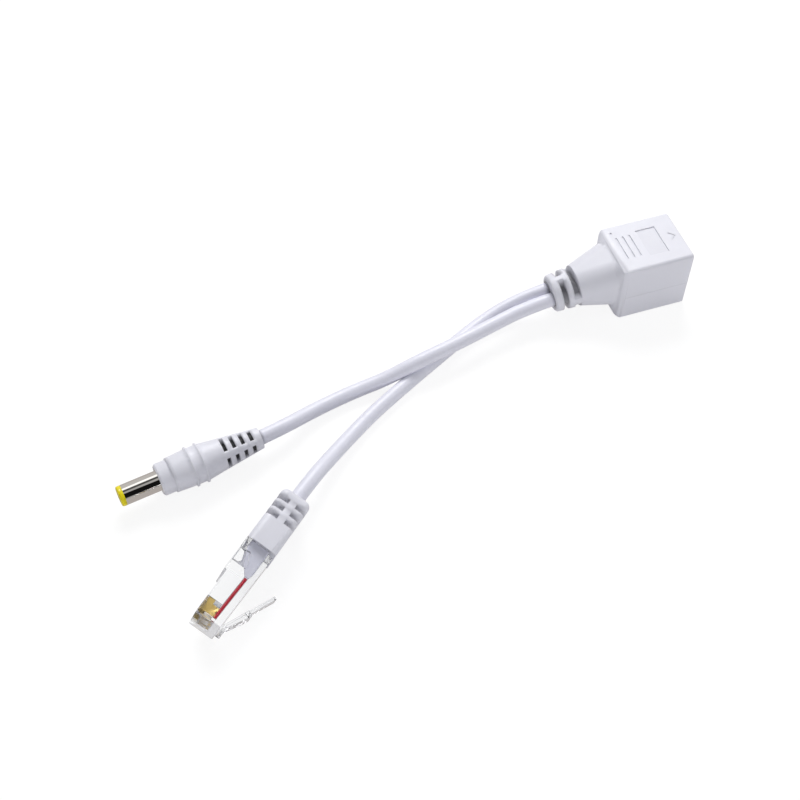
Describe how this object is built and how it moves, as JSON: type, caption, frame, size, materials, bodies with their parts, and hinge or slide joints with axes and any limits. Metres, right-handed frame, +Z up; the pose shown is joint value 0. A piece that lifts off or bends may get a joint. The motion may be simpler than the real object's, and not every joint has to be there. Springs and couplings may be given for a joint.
{
  "type": "passive poe splitter cable",
  "caption": "White power-over-ethernet splitter: a network socket in a soft housing, with short leads to a clear network plug and a barrel power plug.",
  "frame": {"origin": "on the surface that the housing lies on, under the middle of the socket housing with its strain relief", "axes": "+X out of the socket's mouth, -X the way the cords leave, +Z up through the marked top, +Y to the side of contact 8"},
  "size_m": [0.17, 0.0842, 0.0192],
  "materials": {
    "white_overmould": "soft white plastic with a fine moulded skin",
    "white_insert": "hard white plastic",
    "inner_mould": "plain hard plastic, sealed inside",
    "solder": "dull solder",
    "nickel_plate": "bright nickel plate",
    "tinned_brass": "tin plate",
    "gold_contact": "gold plate",
    "yellow_insulator": "hard yellow plastic",
    "clear_plastic": "clear hard plastic",
    "cord_jacket": "smooth white cord jacket",
    "pale_insulation": "pale wire insulation",
    "red_insulation": "red wire insulation",
    "black_insulation": "black wire insulation"
  },
  "bodies": {
    "root": {"socket_overmould": "white_overmould", "socket_insert": "white_insert", "contact_carrier": "white_insert", "socket_inner_mould": "inner_mould", "socket_solder_joints": "solder", "socket_contact_1": "gold_contact", "socket_contact_2": "gold_contact", "socket_contact_3": "gold_contact", "socket_contact_4": "gold_contact", "socket_contact_5": "gold_contact", "socket_contact_6": "gold_contact", "socket_contact_7": "gold_contact", "socket_contact_8": "gold_contact", "socket_data_lead_1": "red_insulation", "socket_data_lead_2": "pale_insulation", "socket_data_lead_3": "pale_insulation", "socket_data_lead_4": "pale_insulation", "socket_positive_lead": "red_insulation", "socket_negative_lead": "black_insulation", "socket_dc_cable_end": "cord_jacket", "socket_data_cable_end": "cord_jacket", "dc_cord": "cord_jacket", "data_cord": "cord_jacket", "dc_grip": "white_overmould", "dc_barrel_sleeve": "nickel_plate", "dc_insulator": "yellow_insulator", "dc_centre_contact": "tinned_brass", "dc_inner_mould": "inner_mould", "dc_positive_lead": "red_insulation", "dc_negative_lead": "black_insulation", "dc_solder_joints": "solder", "dc_cable_end": "cord_jacket", "plug_boot": "white_overmould", "plug_body": "clear_plastic", "plug_cable_end": "cord_jacket", "plug_blade_1": "gold_contact", "plug_blade_2": "gold_contact", "plug_blade_3": "gold_contact", "plug_blade_4": "gold_contact", "plug_blade_5": "gold_contact", "plug_blade_6": "gold_contact", "plug_blade_7": "gold_contact", "plug_blade_8": "gold_contact", "plug_wire_1": "red_insulation", "plug_wire_2": "pale_insulation", "plug_wire_3": "pale_insulation", "plug_wire_4": "pale_insulation"},
    "latch": {"plug_latch": "clear_plastic"}
  },
  "joints": [
    {"name": "latch_press", "type": "hinge", "parent": "root", "child": "latch", "pos_m": [-0.13329, -0.07277, 0.00543], "axis": [0.2367, -0.2647, 0.9348], "range_deg": [0, 18], "stiffness_Nm_per_rad": 0.05}
  ]
}
